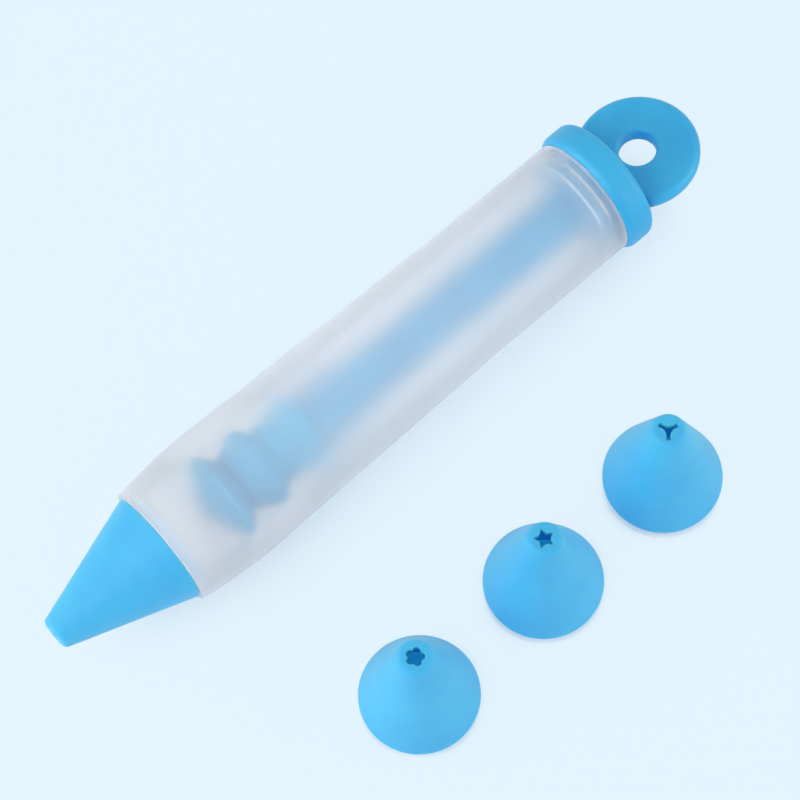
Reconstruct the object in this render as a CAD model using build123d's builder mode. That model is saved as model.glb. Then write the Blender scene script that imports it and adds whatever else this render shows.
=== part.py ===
from build123d import *
import os

# Icing pen: a soft translucent barrel, a plunger with a ring handle, one fitted nozzle
# and three spare nozzles that stand beside the pen.
# X runs along the pen from the fitted nozzle's tip to the ring, Y across it, and Z up.
# The origin is on the table under the middle of the whole set. All sizes are in millimetres.

# Clearances
running_gap = 0.08
socket_gap = 0.04
seat_gap = 0.05
cut_overrun = 1.0

# Barrel
bore_radius = 10.3
barrel_length = 118.0
rear_wall = 3.4
belly_swell = 1.35
lip_margin = 1.05
lip_rounding = 0.3
rear_rim_rounding = 0.5
belly_share = 0.15
cylinder_start_share = 0.76
# Between belly and cylinder: share of the barrel's length, share of the belly's swell
belly_slope_shares = ((0.21, 0.89), (0.30, 0.70), (0.45, 0.42), (0.60, 0.17))

# Nozzles, all with the same body
mouth_step = 1.2
spigot_length = 2.6
spigot_edge = 0.3
shoulder_width = 1.15
shoulder_rounding = 0.25
rim_land = 0.4
cone_length = 28.0
tip_radius = 3.45
tip_rounding = 1.3
nozzle_wall = 1.6
tip_wall = 1.8
throat_radius = 2.4

# Nozzle outlets
round_outlet_radius = 0.75
petal_count = 5
petal_radius = 0.88
petal_offset = 1.17
star_points = 5
star_outer_radius = 2.25
star_inner_radius = 1.25
arm_count = 3
arm_reach = 2.35
arm_width = 0.8
arm_end_radius = 0.52
# The rounding between two arms, as a share of their reach
arm_root_share = 0.9

# Where the spare nozzles stand: how far along the pen from its tip, and how far to the side
# of its axis. Each outlet is turned by degrees
flower_station = 49.05
flower_offset = 56.05
flower_turn = -108.0
star_station = 84.35
star_offset = 54.9
star_turn = 138.0
three_arm_station = 118.4
three_arm_offset = 54.55
three_arm_turn = 107.0

# Ring handle: a collar over the barrel's end, a plug inside it and a flat ring behind it
collar_length = 6.9
collar_overhang = 1.0
collar_front_relief = 0.9
collar_front_crown = 1.8
collar_rear_rounding = 1.9
ring_radius = 13.45
ring_thickness = 4.0
ring_edge_rounding = 1.7
ring_standoff = 8.3
# Degrees by which the ring is turned about the pen's axis, as the pen happens to lie
ring_turn = 6.5
hang_hole_radius = 4.1
hang_hole_rounding = 0.9
# No rounding takes more than this share of the thickness that it rounds
rounding_limit_share = 0.45
plug_length = 5.2
plug_nose_wall = 1.3
plug_nose_length = 0.6
plug_neck_relief = 0.6
bead_width = 2.2
bead_height = 1.98
bead_inset = 2.2
bead_rounding = 0.3
groove_depth = 0.45
groove_margin = 0.15

# Plunger rod and piston
rod_radius = 4.9
rod_edge = 0.5
rod_tail_depth = 3.5
nose_inset = 11.6
nose_length = 4.2
nose_tip_radius = 2.0
nose_tip_rounding = 1.2
lip_thickness = 0.7
waist_wall = 1.7
waist_reach = 3.4
rear_lip_relief = 0.9
lip_spacing = 9.6
sleeve_wall = 2.0
sleeve_slope = 2.6
sleeve_length = 10.4
sleeve_edge = 0.6
piston_floor = 7.0

# Sizes that follow from the ones above
mouth_radius = bore_radius + mouth_step
spigot_radius = mouth_radius - socket_gap
cone_rim_radius = spigot_radius + shoulder_width
nozzle_height = spigot_length + cone_length
lip_radius = cone_rim_radius + lip_margin
rear_radius = bore_radius + rear_wall
belly_radius = rear_radius + belly_swell
collar_radius = rear_radius + collar_overhang
seal_radius = bore_radius - running_gap
plug_radius = seal_radius - bead_height
socket_radius = rod_radius + socket_gap

# Stations along the pen, from the fitted nozzle's tip
lip_station = cone_length + seat_gap
rear_station = lip_station + barrel_length
collar_station = rear_station + seat_gap
collar_rear_station = collar_station + collar_length
ring_station = collar_rear_station + ring_standoff
overall_length = ring_station + ring_radius
nose_station = lip_station + nose_inset

# The frame: the pen lies on the table, and the set's box is centred on the origin
axis_height = max(belly_radius, collar_radius)
pen_start = -overall_length / 2
widest_offset = max(flower_offset, star_offset, three_arm_offset)
pen_side = (widest_offset + cone_rim_radius - axis_height) / 2
pen_origin = Vector(pen_start, pen_side, axis_height)
pen_axis = Axis(pen_origin, (1, 0, 0))

# Half-section plane of the pen: its x is the station along the pen, its y the radius
pen_section = Plane(origin=pen_origin, x_dir=(1, 0, 0), z_dir=(0, -1, 0))

os.makedirs("parts", exist_ok=True)


def nearest_corner(sketch, along, out):
    return sketch.vertices().sort_by_distance((along, out, 0))[0]


def save(piece, name):
    piece.part.label = name
    export_step(piece.part, f"parts/{name}.step")
    print(name, "volume", round(piece.part.volume, 1), "valid", piece.part.is_valid)


# Barrel: one thick silicone sleeve, open at both ends
belly_station = lip_station + belly_share * barrel_length
cylinder_station = lip_station + cylinder_start_share * barrel_length
slope_points = [
    (lip_station + along * barrel_length, rear_radius + swell * belly_swell)
    for along, swell in belly_slope_shares
]

with BuildPart() as barrel:
    with BuildSketch(pen_section) as barrel_outline:
        with BuildLine():
            belly_crest = (belly_station, belly_radius)
            flare = TangentArc(belly_crest, (lip_station, lip_radius), tangent=(-1, 0))
            slope = Spline(
                belly_crest,
                *slope_points,
                (cylinder_station, rear_radius),
                tangents=((1, 0), (1, 0)),
            )
            Polyline(
                slope @ 1,
                (rear_station, rear_radius),
                (rear_station, 0),
                (lip_station, 0),
                flare @ 1,
            )
        make_face()
        fillet(nearest_corner(barrel_outline, lip_station, lip_radius), lip_rounding)
        fillet(nearest_corner(barrel_outline, rear_station, rear_radius), rear_rim_rounding)
    revolve(axis=pen_axis)
    # Bore for the plunger, and the wider mouth that takes the nozzle's spigot
    mouth_end = lip_station + spigot_length + seat_gap
    groove_end = rear_station - bead_inset + groove_margin
    groove_start = rear_station - bead_inset - bead_width - groove_margin
    with BuildSketch(pen_section):
        with BuildLine():
            Polyline(
                (lip_station - cut_overrun, 0),
                (lip_station - cut_overrun, mouth_radius),
                (mouth_end, mouth_radius),
                (mouth_end, bore_radius),
                (groove_start, bore_radius),
                (groove_start, bore_radius + groove_depth),
                (groove_end, bore_radius + groove_depth),
                (groove_end, bore_radius),
                (rear_station + cut_overrun, bore_radius),
                (rear_station + cut_overrun, 0),
                close=True,
            )
        make_face()
    revolve(axis=pen_axis, mode=Mode.SUBTRACT)
save(barrel, "barrel")


# Outlets, drawn at the middle of a nozzle's tip
def round_outlet():
    Circle(round_outlet_radius)


def flower_outlet():
    Circle(petal_offset)
    with PolarLocations(petal_offset, petal_count, start_angle=flower_turn):
        Circle(petal_radius)


def star_outlet():
    half_step = 180 / star_points
    corners = []
    for corner in range(2 * star_points):
        reach = star_inner_radius if corner % 2 else star_outer_radius
        corners.append(Vector(reach, 0).rotate(Axis.Z, star_turn + corner * half_step))
    Polygon(*corners, align=None)


def three_arm_outlet():
    arm_length = arm_reach - arm_end_radius
    with PolarLocations(arm_length / 2, arm_count, start_angle=three_arm_turn):
        Rectangle(arm_length, arm_width)
    fillet(vertices().sort_by_distance((0, 0, 0))[:arm_count], arm_reach * arm_root_share)
    with PolarLocations(arm_length, arm_count, start_angle=three_arm_turn):
        Circle(arm_end_radius)


# A nozzle stands on its spigot at seat, a plane whose z points to the nozzle's tip
def build_nozzle(name, seat, draw_outlet):
    section = Plane(origin=seat.origin, x_dir=seat.x_dir, z_dir=-seat.y_dir)
    centre_line = Axis(seat.origin, seat.z_dir)
    hollow_radius = spigot_radius - nozzle_wall
    with BuildPart() as nozzle:
        with BuildSketch(section) as body:
            with BuildLine():
                Polyline(
                    (0, 0),
                    (spigot_radius, 0),
                    (spigot_radius, spigot_length),
                    (cone_rim_radius, spigot_length),
                    (cone_rim_radius, spigot_length + rim_land),
                    (tip_radius, nozzle_height),
                    (0, nozzle_height),
                    close=True,
                )
            make_face()
            fillet(nearest_corner(body, tip_radius, nozzle_height), tip_rounding)
            fillet(nearest_corner(body, cone_rim_radius, spigot_length), shoulder_rounding)
            chamfer(nearest_corner(body, spigot_radius, 0), spigot_edge)
        revolve(axis=centre_line)
        with BuildSketch(section):
            with BuildLine():
                Polyline(
                    (0, -cut_overrun),
                    (hollow_radius, -cut_overrun),
                    (hollow_radius, spigot_length),
                    (throat_radius, nozzle_height - tip_wall),
                    (0, nozzle_height - tip_wall),
                    close=True,
                )
            make_face()
        revolve(axis=centre_line, mode=Mode.SUBTRACT)
        with BuildSketch(seat.offset(nozzle_height - tip_wall - cut_overrun)):
            draw_outlet()
        extrude(amount=tip_wall + 2 * cut_overrun, mode=Mode.SUBTRACT)
    save(nozzle, name)


fitted_seat = Plane(
    origin=pen_origin + Vector(cone_length + spigot_length, 0, 0),
    x_dir=(0, 0, 1),
    z_dir=(-1, 0, 0),
)
build_nozzle("round_nozzle", fitted_seat, round_outlet)

spare_nozzles = (
    ("flower_nozzle", flower_station, flower_offset, flower_outlet),
    ("star_nozzle", star_station, star_offset, star_outlet),
    ("three_arm_nozzle", three_arm_station, three_arm_offset, three_arm_outlet),
)
for spare_name, spare_station, spare_offset, spare_outlet in spare_nozzles:
    spare_seat = Plane(origin=(pen_start + spare_station, pen_side - spare_offset, 0))
    build_nozzle(spare_name, spare_seat, spare_outlet)


# Ring handle: plug, collar and ring are one moulded piece
plug_station = collar_station - plug_length
bead_end = collar_station - bead_inset
bead_start = bead_end - bead_width
collar_crown = min(collar_front_crown, collar_length * rounding_limit_share)
collar_rounding = min(collar_rear_rounding, collar_length * rounding_limit_share)
ring_rounding = min(ring_edge_rounding, ring_thickness * rounding_limit_share)
hole_rounding = min(hang_hole_rounding, ring_thickness * rounding_limit_share)

with BuildPart() as ring_handle:
    with BuildSketch(pen_section) as handle_outline:
        with BuildLine():
            front = Polyline(
                (plug_station, 0),
                (plug_station, socket_radius + plug_nose_wall),
                (plug_station + plug_nose_length, plug_radius),
                (bead_start, plug_radius),
                (bead_start, seal_radius),
                (bead_end, seal_radius),
                (bead_end, seal_radius - plug_neck_relief),
                (collar_station, seal_radius - plug_neck_relief),
                (collar_station, collar_radius - collar_front_relief),
            )
            crown = TangentArc(
                (collar_station + collar_crown, collar_radius),
                front @ 1,
                tangent=(-1, 0),
            )
            band = Line(crown @ 0, (collar_rear_station - collar_rounding, collar_radius))
            rear = TangentArc(
                band @ 1,
                (collar_rear_station, collar_radius - collar_rounding),
                tangent=(1, 0),
            )
            Polyline(rear @ 1, (collar_rear_station, 0), front @ 0)
        make_face()
        fillet(nearest_corner(handle_outline, bead_start, seal_radius), bead_rounding)
        fillet(nearest_corner(handle_outline, bead_end, seal_radius), bead_rounding)
    revolve(axis=pen_axis)
    # The flat ring, at half the pen's height
    ring_origin = pen_origin + Vector(ring_station, 0, 0)
    ring_up = Vector(0, 0, 1).rotate(Axis.X, -ring_turn)
    ring_section = Plane(origin=ring_origin, x_dir=(1, 0, 0), z_dir=Vector(1, 0, 0).cross(ring_up))
    with BuildSketch(ring_section) as ring_outline:
        with BuildLine():
            Polyline(
                (hang_hole_radius, -ring_thickness / 2),
                (ring_radius, -ring_thickness / 2),
                (ring_radius, ring_thickness / 2),
                (hang_hole_radius, ring_thickness / 2),
                close=True,
            )
        make_face()
        fillet(ring_outline.vertices().group_by(Axis.X)[-1], ring_rounding)
        fillet(ring_outline.vertices().group_by(Axis.X)[0], hole_rounding)
    revolve(axis=Axis(ring_origin, ring_up))
    # Blind socket for the rod's tail
    socket_end = collar_station + rod_tail_depth
    with BuildSketch(pen_section):
        with BuildLine():
            Polyline(
                (plug_station - cut_overrun, 0),
                (plug_station - cut_overrun, socket_radius),
                (socket_end, socket_radius),
                (socket_end, 0),
                close=True,
            )
        make_face()
    revolve(axis=pen_axis, mode=Mode.SUBTRACT)
save(ring_handle, "ring_handle")


# Rod: it runs from the piston's socket to the handle's
rod_start = nose_station + piston_floor
rod_end = socket_end - seat_gap

with BuildPart() as plunger_rod:
    with BuildSketch(pen_section) as rod_outline:
        with BuildLine():
            Polyline(
                (rod_start, 0),
                (rod_start, rod_radius),
                (rod_end, rod_radius),
                (rod_end, 0),
                close=True,
            )
        make_face()
        chamfer(nearest_corner(rod_outline, rod_start, rod_radius), rod_edge)
        chamfer(nearest_corner(rod_outline, rod_end, rod_radius), rod_edge)
    revolve(axis=pen_axis)
save(plunger_rod, "plunger_rod")


# Piston: a soft blunt cone with two lips and a sleeve that grips the rod
front_lip_station = nose_station + nose_length
front_lip_end = front_lip_station + lip_thickness
waist_radius = rod_radius + waist_wall
rear_lip_radius = seal_radius - rear_lip_relief
rear_lip_station = front_lip_station + lip_spacing
rear_lip_end = rear_lip_station + lip_thickness
sleeve_radius = rod_radius + sleeve_wall
sleeve_station = rear_lip_end + sleeve_slope
sleeve_end = sleeve_station + sleeve_length

with BuildPart() as piston:
    with BuildSketch(pen_section) as piston_outline:
        with BuildLine():
            Polyline(
                (nose_station, 0),
                (nose_station, nose_tip_radius),
                (front_lip_station, seal_radius),
                (front_lip_end, seal_radius),
                (front_lip_end + waist_reach, waist_radius),
                (rear_lip_station, rear_lip_radius),
                (rear_lip_end, rear_lip_radius),
                (sleeve_station, sleeve_radius),
                (sleeve_end, sleeve_radius),
                (sleeve_end, 0),
                close=True,
            )
        make_face()
        fillet(nearest_corner(piston_outline, nose_station, nose_tip_radius), nose_tip_rounding)
        chamfer(nearest_corner(piston_outline, sleeve_end, sleeve_radius), sleeve_edge)
    revolve(axis=pen_axis)
    with BuildSketch(pen_section):
        with BuildLine():
            Polyline(
                (rod_start - seat_gap, 0),
                (rod_start - seat_gap, socket_radius),
                (sleeve_end + cut_overrun, socket_radius),
                (sleeve_end + cut_overrun, 0),
                close=True,
            )
        make_face()
    revolve(axis=pen_axis, mode=Mode.SUBTRACT)
save(piston, "piston")

print("overall length", round(overall_length, 2), "pen origin", pen_origin)
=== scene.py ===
import math

import bpy
from mathutils import Matrix, Vector


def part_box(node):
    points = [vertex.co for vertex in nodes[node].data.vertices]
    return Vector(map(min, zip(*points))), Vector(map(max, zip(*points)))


# The looks of the icing pen: finishes for its silicone and plastic pieces, a pale floor,
# soft studio light and the camera of the photograph. Lengths are in metres, angles in degrees.

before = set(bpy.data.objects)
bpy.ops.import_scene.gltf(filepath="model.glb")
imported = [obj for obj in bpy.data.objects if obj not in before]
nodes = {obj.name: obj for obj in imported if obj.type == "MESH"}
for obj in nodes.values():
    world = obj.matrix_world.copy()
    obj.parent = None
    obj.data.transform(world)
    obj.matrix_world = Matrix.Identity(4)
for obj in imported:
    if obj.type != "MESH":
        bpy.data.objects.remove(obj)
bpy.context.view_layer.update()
nozzle_names = ("round_nozzle", "flower_nozzle", "star_nozzle", "three_arm_nozzle")
loose_nozzles = nozzle_names[1:]

# Camera, as fitted to the photograph; azimuth 0 is at -Y
camera_azimuth = -35.84
camera_elevation = 68.86
camera_roll = 5.81
camera_distance = 0.650
camera_target = Vector((0.002005, 0.02291, 0.0))
camera_lens = 136.92
sensor_width = 36.0
sight_limit = 10

# The pen's axis runs along X at this Y and Z
axis_y = 0.026805
axis_z = 0.01505
bore_radius = 0.0103
# The barrel's mouth, and where the handle's collar starts, up to which its plug reaches
mouth_x = -0.05933
collar_x = 0.0587
# A loose nozzle's foot lies within this radius
rim_radius = 0.0127
# The handle's bead stretches the barrel's wall. Two painted highlights, pale arcs where its
# edges catch the light, lie about at these X, on the side that faces this way
highlight_arc_places = (0.0538, 0.0562)
highlight_arc_facing = Vector((0, -0.299, 0.954))

# Colours are linear red, green and blue. The piston, the rod and the plug are deeper or duller
# than the handle, so that they look right through the barrel's milky wall; on the plug, which is
# part of the handle, this is painted shade inside the barrel
white = (1, 1, 1)
backdrop_colour = (0.78, 0.92, 1.0)
floor_colour = (0.77, 0.86, 0.97)
through_colour = (0.86, 0.87, 0.91)
# Painted glow of the floor inside the standing nozzles
painted_nozzle_glow = (0.0, 0.17, 0.44)
nozzle_light = (0.076, 0.570, 0.915)
nozzle_dark = (0.062, 0.520, 0.875)
handle_light = (0.048, 0.525, 0.900)
handle_dark = (0.038, 0.470, 0.850)
piston_light = (0.0, 0.440, 0.700)
piston_dark = (0.0, 0.370, 0.610)
# Painted shade in the piston's grooves
groove_painted_shade = (0.0, 0.10, 0.33)
# Painted shade in the ring's hole
hole_painted_shade = (0.0, 0.26, 0.56)
# Painted shade on the plug inside the barrel
plug_painted_shade = (0.10, 0.40, 0.62)
rod_light = (0.0, 0.370, 0.640)
rod_dark = (0.0, 0.315, 0.580)
milk_light = (0.990, 0.995, 1.0)
milk_dark = (0.955, 0.968, 0.980)
milk_shade = (0.88, 0.90, 0.92)
frost_sheen_tint = (0.92, 0.96, 1.0)

# Clouding and grain: scale per metre, detail and roughness of the noise
silicone_cloud = (90, 3, 0.5)
silicone_grain = (2600, 4, 0.6)
rod_cloud = (120, 3, 0.5)
rod_grain = (1800, 3, 0.5)
milk_cloud = (60, 4, 0.5)
milk_grain = (2200, 4, 0.6)
# The clouding's noise goes from the dark colour to the light one between these values
cloud_band = (0.35, 0.65)
# Depth of the grain
silicone_relief = 0.00003
rod_relief = 0.00001
milk_relief = 0.00002

# Blue silicone: roughness, how far its grain moves it, gloss, and how light runs into it
nozzle_matt = 0.50
piston_matt = 0.50
handle_matt = 0.33
matt_spread = 0.08
nozzle_gloss = 0.6
piston_gloss = 0.3
handle_gloss = 0.6
silicone_ior = 1.42
skin_weight = 0.25
skin_radius = (0.3, 0.7, 1.0)
skin_depth = 0.0018
thin_skin_weight = 1.0
thin_skin_depth = 0.010
nozzle_sheen = 0.12
nozzle_sheen_matt = 0.45
# Rod: roughness, from one end of its grain to the other
rod_matt = (0.30, 0.42)

# Where a piece shuts itself in: how near its walls lie, and the openness at which the effect
# starts and at which it is full
nozzle_hollow = (0.03, 0.45, 0.20)
# Painted shade in the piston's grooves
piston_groove_shade = (0.010, 0.85, 0.55)
# Painted shade in the ring's hole
ring_hole_shade = (0.006, 0.80, 0.50)
around_samples = 4
# Width over which the plug's painted shade sets in, ahead of the collar
plug_edge = 0.0004

# Frosted silicone. A band is a pair of values along X, or of radii, at which an effect starts
# and at which it is full
frost_ior = 1.41
outside_band = (bore_radius + 0.0002, bore_radius + 0.0008)
nose_band = (-0.043, -0.048)
sleeve_band = (-0.034, -0.020)
rod_band = (-0.018, 0.0)
mouth_band = (mouth_x, mouth_x + 0.008)
rear_band = (0.01, 0.05)
# Roughness of the outside, and of the bore at the piston's lips and sleeve, with how much it
# rises at the nose and falls again along the rod, as the piston lies at rest
outside_frost = 0.31
lips_frost = 0.22
sleeve_frost = 0.95
nose_rise = 0.40
rod_fall = 0.25
grain_frost = 0.03
# Share of light that passes, at the mouth and behind it, its rise to the rear, and its fall
# in the pale arcs, which are painted highlights
mouth_clear = 0.62
barrel_clear = 0.88
rear_rise = 0.04
arc_fall = 0.38
# How far off its place an arc fades out and is full, and how squarely its top faces up
arc_band = (0.0005, 0.0001)
arc_reach = (0.80, 0.95)
frost_sheen = 1.0
frost_sheen_matt = 0.5

# Floor and light. The floor mostly glows in the backdrop's colour, and less so seen through the
# barrel
floor_half_side = 3.0
floor_height = -0.0002
floor_glow = 0.94
through_glow = 0.5
floor_reach = 0.03
floor_open_band = (0.15, 0.40)
side_light = 0.78
top_light = 0.48
lamp_distance = 0.55
lamp_side = 0.40
# Name, azimuth, elevation and power of each lamp
lamps = (("key_low", -125, 22, 0.70), ("key_high", -90, 50, 0.80), ("fill", 48, 22, 0.65))


def make_material(name):
    material = bpy.data.materials.new(name)
    material.use_nodes = True
    tree = material.node_tree
    return material, tree, tree.nodes["Principled BSDF"]


def noise(tree, scale, detail, roughness):
    where = tree.nodes.new("ShaderNodeTexCoord")
    texture = tree.nodes.new("ShaderNodeTexNoise")
    texture.inputs["Scale"].default_value = scale
    texture.inputs["Detail"].default_value = detail
    texture.inputs["Roughness"].default_value = roughness
    tree.links.new(where.outputs["Object"], texture.inputs["Vector"])
    return texture.outputs["Fac"]


def clouded_colour(tree, cloud, dark, light):
    """The dark colour where the noise is low and the light one where it is high."""
    ramp = tree.nodes.new("ShaderNodeValToRGB")
    for element, position, colour in zip(ramp.color_ramp.elements, cloud_band, (dark, light)):
        element.position = position
        element.color = (*colour, 1)
    tree.links.new(cloud, ramp.inputs["Fac"])
    return ramp.outputs["Color"]


def mixed_colour(tree, factor, first, second):
    """The first colour where the factor is 0 and the second where it is 1."""
    mix = tree.nodes.new("ShaderNodeMix")
    mix.data_type = "RGBA"
    tree.links.new(factor, mix.inputs["Factor"])
    for name, colour in (("A", first), ("B", second)):
        if isinstance(colour, tuple):
            mix.inputs[name].default_value = (*colour, 1)
        else:
            tree.links.new(colour, mix.inputs[name])
    return mix.outputs["Result"]


def mix_shaders(tree, factor, first, second, output):
    """Shows the first shader where the factor is 0 and the second where it is 1."""
    mix = tree.nodes.new("ShaderNodeMixShader")
    tree.links.new(factor, mix.inputs["Fac"])
    tree.links.new(first.outputs[0], mix.inputs[1])
    tree.links.new(second.outputs[0], mix.inputs[2])
    tree.links.new(mix.outputs[0], output.inputs["Surface"])


def number_between(tree, factor, low, high):
    """The low number where the factor is 0 and the high one where it is 1."""
    spread = tree.nodes.new("ShaderNodeMapRange")
    spread.inputs["To Min"].default_value = low
    spread.inputs["To Max"].default_value = high
    tree.links.new(factor, spread.inputs["Value"])
    return spread.outputs["Result"]


def bump(tree, height, depth):
    node = tree.nodes.new("ShaderNodeBump")
    node.inputs["Distance"].default_value = depth
    tree.links.new(height, node.inputs["Height"])
    return node.outputs["Normal"]


def combine(tree, operation, first, second=0.0):
    """The result of an operation on two sockets or numbers, or on the first one alone."""
    node = tree.nodes.new("ShaderNodeMath")
    node.operation = operation
    for socket, value in zip(node.inputs, (first, second)):
        if isinstance(value, float):
            socket.default_value = value
        else:
            tree.links.new(value, socket)
    return node.outputs[0]


def share(tree, value, start, end):
    """0 where the value is at start, 1 where it is at end, and smooth in between."""
    spread = tree.nodes.new("ShaderNodeMapRange")
    spread.interpolation_type = "SMOOTHSTEP"
    spread.inputs["From Min"].default_value = start
    spread.inputs["From Max"].default_value = end
    tree.links.new(value, spread.inputs["Value"])
    return spread.outputs["Result"]


def openness(tree, reach, itself_only):
    """1 in the open, and less where walls within reach shut the point in."""
    around = tree.nodes.new("ShaderNodeAmbientOcclusion")
    around.samples = around_samples
    around.only_local = itself_only
    around.inputs["Distance"].default_value = reach
    return around.outputs["AO"]


def hollow_share(tree, reach, start, end):
    """1 where the piece shuts itself in, as inside a hollow or a groove, and 0 where it is open."""
    return share(tree, openness(tree, reach, True), start, end)


def split_place(tree):
    """Sockets of a point's X, and of how far it lies across, above and away from the pen's axis."""
    where = tree.nodes.new("ShaderNodeTexCoord")
    split = tree.nodes.new("ShaderNodeSeparateXYZ")
    tree.links.new(where.outputs["Object"], split.inputs[0])
    across = combine(tree, "SUBTRACT", split.outputs["Y"], axis_y)
    above = combine(tree, "SUBTRACT", split.outputs["Z"], axis_z)
    squares = [combine(tree, "MULTIPLY", value, value) for value in (across, above)]
    away = combine(tree, "SQRT", combine(tree, "ADD", *squares))
    return split.outputs["X"], across, above, away


def blue_silicone(name, dark, light, matt, gloss):
    material, tree, shader = make_material(name)
    cloud = noise(tree, *silicone_cloud)
    grain = noise(tree, *silicone_grain)
    rough = number_between(tree, grain, matt - matt_spread, matt + matt_spread)
    tree.links.new(clouded_colour(tree, cloud, dark, light), shader.inputs["Base Color"])
    tree.links.new(rough, shader.inputs["Roughness"])
    tree.links.new(bump(tree, grain, silicone_relief), shader.inputs["Normal"])
    shader.inputs["IOR"].default_value = silicone_ior
    shader.inputs["Specular IOR Level"].default_value = gloss
    shader.inputs["Subsurface Weight"].default_value = skin_weight
    shader.inputs["Subsurface Radius"].default_value = skin_radius
    shader.inputs["Subsurface Scale"].default_value = skin_depth
    return material, tree, shader


def paint_shade(tree, shader, colour, part):
    """Mixes a painted shade colour into the shader's own where the socket part is 1."""
    own_colour = shader.inputs["Base Color"].links[0].from_socket
    tree.links.new(mixed_colour(tree, part, own_colour, colour), shader.inputs["Base Color"])


def nozzle_silicone():
    """The nozzles' silicone: their thin walls let blue light into the hollow."""
    material, tree, shader = blue_silicone(
        "nozzle_silicone", nozzle_dark, nozzle_light, nozzle_matt, nozzle_gloss
    )
    hollow = hollow_share(tree, *nozzle_hollow)
    depth = number_between(tree, hollow, skin_depth, thin_skin_depth)
    shader.inputs["Subsurface Weight"].default_value = thin_skin_weight
    tree.links.new(depth, shader.inputs["Subsurface Scale"])
    shader.inputs["Sheen Weight"].default_value = nozzle_sheen
    shader.inputs["Sheen Roughness"].default_value = nozzle_sheen_matt
    return material


def piston_silicone():
    """The piston's silicone, with painted shade in the grooves between its lips."""
    material, tree, shader = blue_silicone(
        "piston_silicone", piston_dark, piston_light, piston_matt, piston_gloss
    )
    # Painted shade in the grooves between the lips
    paint_shade(tree, shader, groove_painted_shade, hollow_share(tree, *piston_groove_shade))
    return material


def handle_silicone():
    """The handle's silicone, with painted shade in the ring's hole and on the plug in the barrel.
    """
    material, tree, shader = blue_silicone(
        "handle_silicone", handle_dark, handle_light, handle_matt, handle_gloss
    )
    # Painted shade inside the ring's hole
    paint_shade(tree, shader, hole_painted_shade, hollow_share(tree, *ring_hole_shade))
    # Painted shade on the plug, the handle's part inside the barrel
    along = split_place(tree)[0]
    paint_shade(tree, shader, plug_painted_shade, share(tree, along, collar_x, collar_x - plug_edge))
    return material


def rod_plastic():
    material, tree, shader = make_material("rod_plastic")
    cloud = noise(tree, *rod_cloud)
    grain = noise(tree, *rod_grain)
    tree.links.new(clouded_colour(tree, cloud, rod_dark, rod_light), shader.inputs["Base Color"])
    tree.links.new(number_between(tree, grain, *rod_matt), shader.inputs["Roughness"])
    tree.links.new(bump(tree, grain, rod_relief), shader.inputs["Normal"])
    return material


def frost(tree, along, outside, grain):
    """The barrel's roughness, in its bore and outside.

    The bore's is set to the photograph, where the piston's lips show sharply, and its
    nose, its sleeve and the rod are blurred. It stays in place when the piston slides.
    """
    nose = number_between(tree, share(tree, along, *nose_band), 0.0, nose_rise)
    sleeve = number_between(tree, share(tree, along, *sleeve_band), lips_frost, sleeve_frost)
    rod = number_between(tree, share(tree, along, *rod_band), 0.0, rod_fall)
    bore = combine(tree, "SUBTRACT", combine(tree, "ADD", nose, sleeve), rod)
    inner = combine(tree, "MULTIPLY", bore, combine(tree, "SUBTRACT", 1.0, outside))
    both = combine(tree, "ADD", inner, combine(tree, "MULTIPLY", outside, outside_frost))
    return combine(tree, "ADD", both, number_between(tree, grain, -grain_frost, grain_frost))


def painted_highlight_arcs(tree, along, across, above, away):
    """1 in the two painted highlights, arcs over the handle's bead, on the barrel's upper side."""
    arcs = 0.0
    for place in highlight_arc_places:
        off = combine(tree, "ABSOLUTE", combine(tree, "SUBTRACT", along, place))
        arcs = combine(tree, "ADD", arcs, share(tree, off, *arc_band))
    sideways = combine(tree, "MULTIPLY", across, highlight_arc_facing.y)
    upwards = combine(tree, "MULTIPLY", above, highlight_arc_facing.z)
    facing = combine(tree, "DIVIDE", combine(tree, "ADD", sideways, upwards), away)
    return combine(tree, "MULTIPLY", arcs, share(tree, facing, *arc_reach))


def clearness(tree, along, painted_highlight):
    """The share of light that the barrel lets pass.

    It is set to the photograph, which is milkier at the mouth and in the pale arcs, and
    a little clearer towards the rear end.
    """
    front = number_between(tree, share(tree, along, *mouth_band), mouth_clear, barrel_clear)
    rear = number_between(tree, share(tree, along, *rear_band), 0.0, rear_rise)
    # The pale arcs are painted highlights: the wall is milkier there
    milky = combine(tree, "MULTIPLY", painted_highlight, arc_fall)
    return combine(tree, "SUBTRACT", combine(tree, "ADD", front, rear), milky)


def frosted_silicone():
    material, tree, shader = make_material("clear_silicone")
    cloud = noise(tree, *milk_cloud)
    grain = noise(tree, *milk_grain)
    along, across, above, away = split_place(tree)
    outside = share(tree, away, *outside_band)
    # Painted highlights: two pale arcs on the outside of the barrel
    painted_highlight = combine(tree, "MULTIPLY", painted_highlight_arcs(tree, along, across, above, away), outside)
    tree.links.new(clouded_colour(tree, cloud, milk_dark, milk_light), shader.inputs["Base Color"])
    tree.links.new(frost(tree, along, outside, grain), shader.inputs["Roughness"])
    tree.links.new(bump(tree, grain, milk_relief), shader.inputs["Normal"])
    tree.links.new(clearness(tree, along, painted_highlight), shader.inputs["Transmission Weight"])
    shader.inputs["IOR"].default_value = frost_ior
    shader.inputs["Sheen Weight"].default_value = frost_sheen
    shader.inputs["Sheen Roughness"].default_value = frost_sheen_matt
    shader.inputs["Sheen Tint"].default_value = (*frost_sheen_tint, 1)
    # Lamps reach what lies inside, as they do through real frosted silicone
    lamp_way = tree.nodes.new("ShaderNodeBsdfTransparent")
    lamp_way.inputs["Color"].default_value = (*milk_shade, 1)
    path = tree.nodes.new("ShaderNodeLightPath")
    shadow_ray = path.outputs["Is Shadow Ray"]
    mix_shaders(tree, shadow_ray, shader, lamp_way, tree.nodes["Material Output"])
    return material


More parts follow.
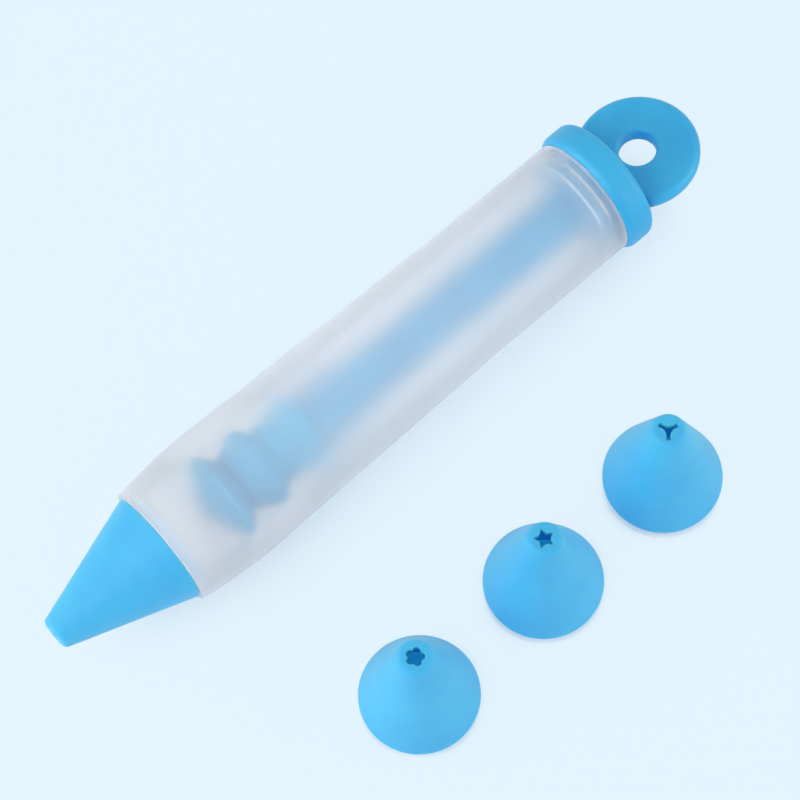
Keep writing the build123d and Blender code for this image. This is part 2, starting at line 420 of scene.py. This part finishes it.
def dress(names, material):
    for name in names:
        piece = nodes[name]
        piece.data.materials.clear()
        piece.data.materials.append(material)


def add_to_scene(name, data):
    thing = bpy.data.objects.new(name, data)
    bpy.context.scene.collection.objects.link(thing)
    return thing


def direction(azimuth, elevation):
    """The direction from the set to a lamp or the camera."""
    a, e = math.radians(azimuth), math.radians(elevation)
    return Vector((math.sin(a) * math.cos(e), -math.cos(a) * math.cos(e), math.sin(e)))


def place_camera():
    azimuth, roll = math.radians(camera_azimuth), math.radians(camera_roll)
    back = direction(camera_azimuth, camera_elevation)
    right = Vector((math.cos(azimuth), math.sin(azimuth), 0))
    up = back.cross(right)
    side = math.cos(roll) * right - math.sin(roll) * up
    top = math.sin(roll) * right + math.cos(roll) * up
    data = bpy.data.cameras.new("camera")
    data.sensor_width = sensor_width
    data.lens = camera_lens
    data.clip_end = sight_limit
    camera = add_to_scene("camera", data)
    place = Matrix.Translation(camera_target + camera_distance * back)
    camera.matrix_world = place @ Matrix((side, top, back)).transposed().to_4x4()
    bpy.context.scene.camera = camera


def under_nozzles(tree):
    """1 on the floor inside the rims of the three loose nozzles, in their places at rest."""
    where = tree.nodes.new("ShaderNodeNewGeometry")
    total = 0.0
    for name in loose_nozzles:
        low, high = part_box(name)
        centre = [(a + b) / 2 for a, b in zip(low, high)]
        away = tree.nodes.new("ShaderNodeVectorMath")
        away.operation = "DISTANCE"
        tree.links.new(where.outputs["Position"], away.inputs[0])
        away.inputs[1].default_value = (centre[0], centre[1], 0)
        inside = combine(tree, "LESS_THAN", away.outputs["Value"], rim_radius)
        total = combine(tree, "ADD", total, inside)
    return total


def floor_material():
    material, tree, _ = make_material("floor")
    tree.nodes.clear()
    output = tree.nodes.new("ShaderNodeOutputMaterial")
    diffuse = tree.nodes.new("ShaderNodeBsdfDiffuse")
    diffuse.inputs["Color"].default_value = (*floor_colour, 1)
    glow = tree.nodes.new("ShaderNodeEmission")
    path = tree.nodes.new("ShaderNodeLightPath")
    camera_ray = path.outputs["Is Camera Ray"]
    through_ray = path.outputs["Is Transmission Ray"]
    opened = share(tree, openness(tree, floor_reach, False), *floor_open_band)
    shut = combine(tree, "SUBTRACT", 1.0, opened)
    # Painted glow: inside a standing nozzle the floor glows with the blue its thin wall lets in
    painted_blue_glow = combine(tree, "MULTIPLY", shut, under_nozzles(tree))
    straight = combine(tree, "MULTIPLY", camera_ray, opened)
    shown = combine(tree, "MULTIPLY", combine(tree, "MAXIMUM", straight, painted_blue_glow), floor_glow)
    # Through the barrel the floor keeps more of its shading
    through = combine(tree, "MULTIPLY", through_ray, through_glow)
    around = mixed_colour(tree, through_ray, backdrop_colour, through_colour)
    tree.links.new(mixed_colour(tree, painted_blue_glow, around, painted_nozzle_glow), glow.inputs["Color"])
    mix_shaders(tree, combine(tree, "MAXIMUM", shown, through), diffuse, glow, output)
    return material


def make_floor():
    side = floor_half_side
    mesh = bpy.data.meshes.new("floor")
    corners = [(-side, -side, 0), (side, -side, 0), (side, side, 0), (-side, side, 0)]
    mesh.from_pydata(corners, [], [(0, 1, 2, 3)])
    floor = add_to_scene("floor", mesh)
    floor.location.z = floor_height
    mesh.materials.append(floor_material())


def make_world():
    world = bpy.data.worlds.new("studio")
    world.use_nodes = True
    tree = world.node_tree
    tree.nodes.clear()
    output = tree.nodes.new("ShaderNodeOutputWorld")
    studio = tree.nodes.new("ShaderNodeBackground")
    studio.inputs["Color"].default_value = (*white, 1)
    # The studio's light is stronger from the sides than from above
    where = tree.nodes.new("ShaderNodeTexCoord")
    split = tree.nodes.new("ShaderNodeSeparateXYZ")
    tree.links.new(where.outputs["Generated"], split.inputs[0])
    strength = number_between(tree, split.outputs["Z"], side_light, top_light)
    tree.links.new(strength, studio.inputs["Strength"])
    shown = tree.nodes.new("ShaderNodeBackground")
    path = tree.nodes.new("ShaderNodeLightPath")
    camera_ray = path.outputs["Is Camera Ray"]
    through_ray = path.outputs["Is Transmission Ray"]
    colour = mixed_colour(tree, through_ray, backdrop_colour, through_colour)
    tree.links.new(colour, shown.inputs["Color"])
    mix_shaders(tree, combine(tree, "MAXIMUM", camera_ray, through_ray), studio, shown, output)
    bpy.context.scene.world = world


def add_lamp(name, azimuth, elevation, power):
    """A square soft box that points at the middle of the set."""
    back = direction(azimuth, elevation)
    data = bpy.data.lights.new(name, "AREA")
    data.size = lamp_side
    data.energy = power
    lamp = add_to_scene(name, data)
    lamp.location = back * lamp_distance
    lamp.rotation_mode = "QUATERNION"
    lamp.rotation_quaternion = back.to_track_quat("Z", "Y")


dress(nozzle_names, nozzle_silicone())
dress(("piston",), piston_silicone())
dress(("ring_handle",), handle_silicone())
dress(("plunger_rod",), rod_plastic())
dress(("barrel",), frosted_silicone())

bpy.context.scene.view_settings.view_transform = "Standard"
place_camera()
make_floor()
make_world()
for lamp in lamps:
    add_lamp(*lamp)
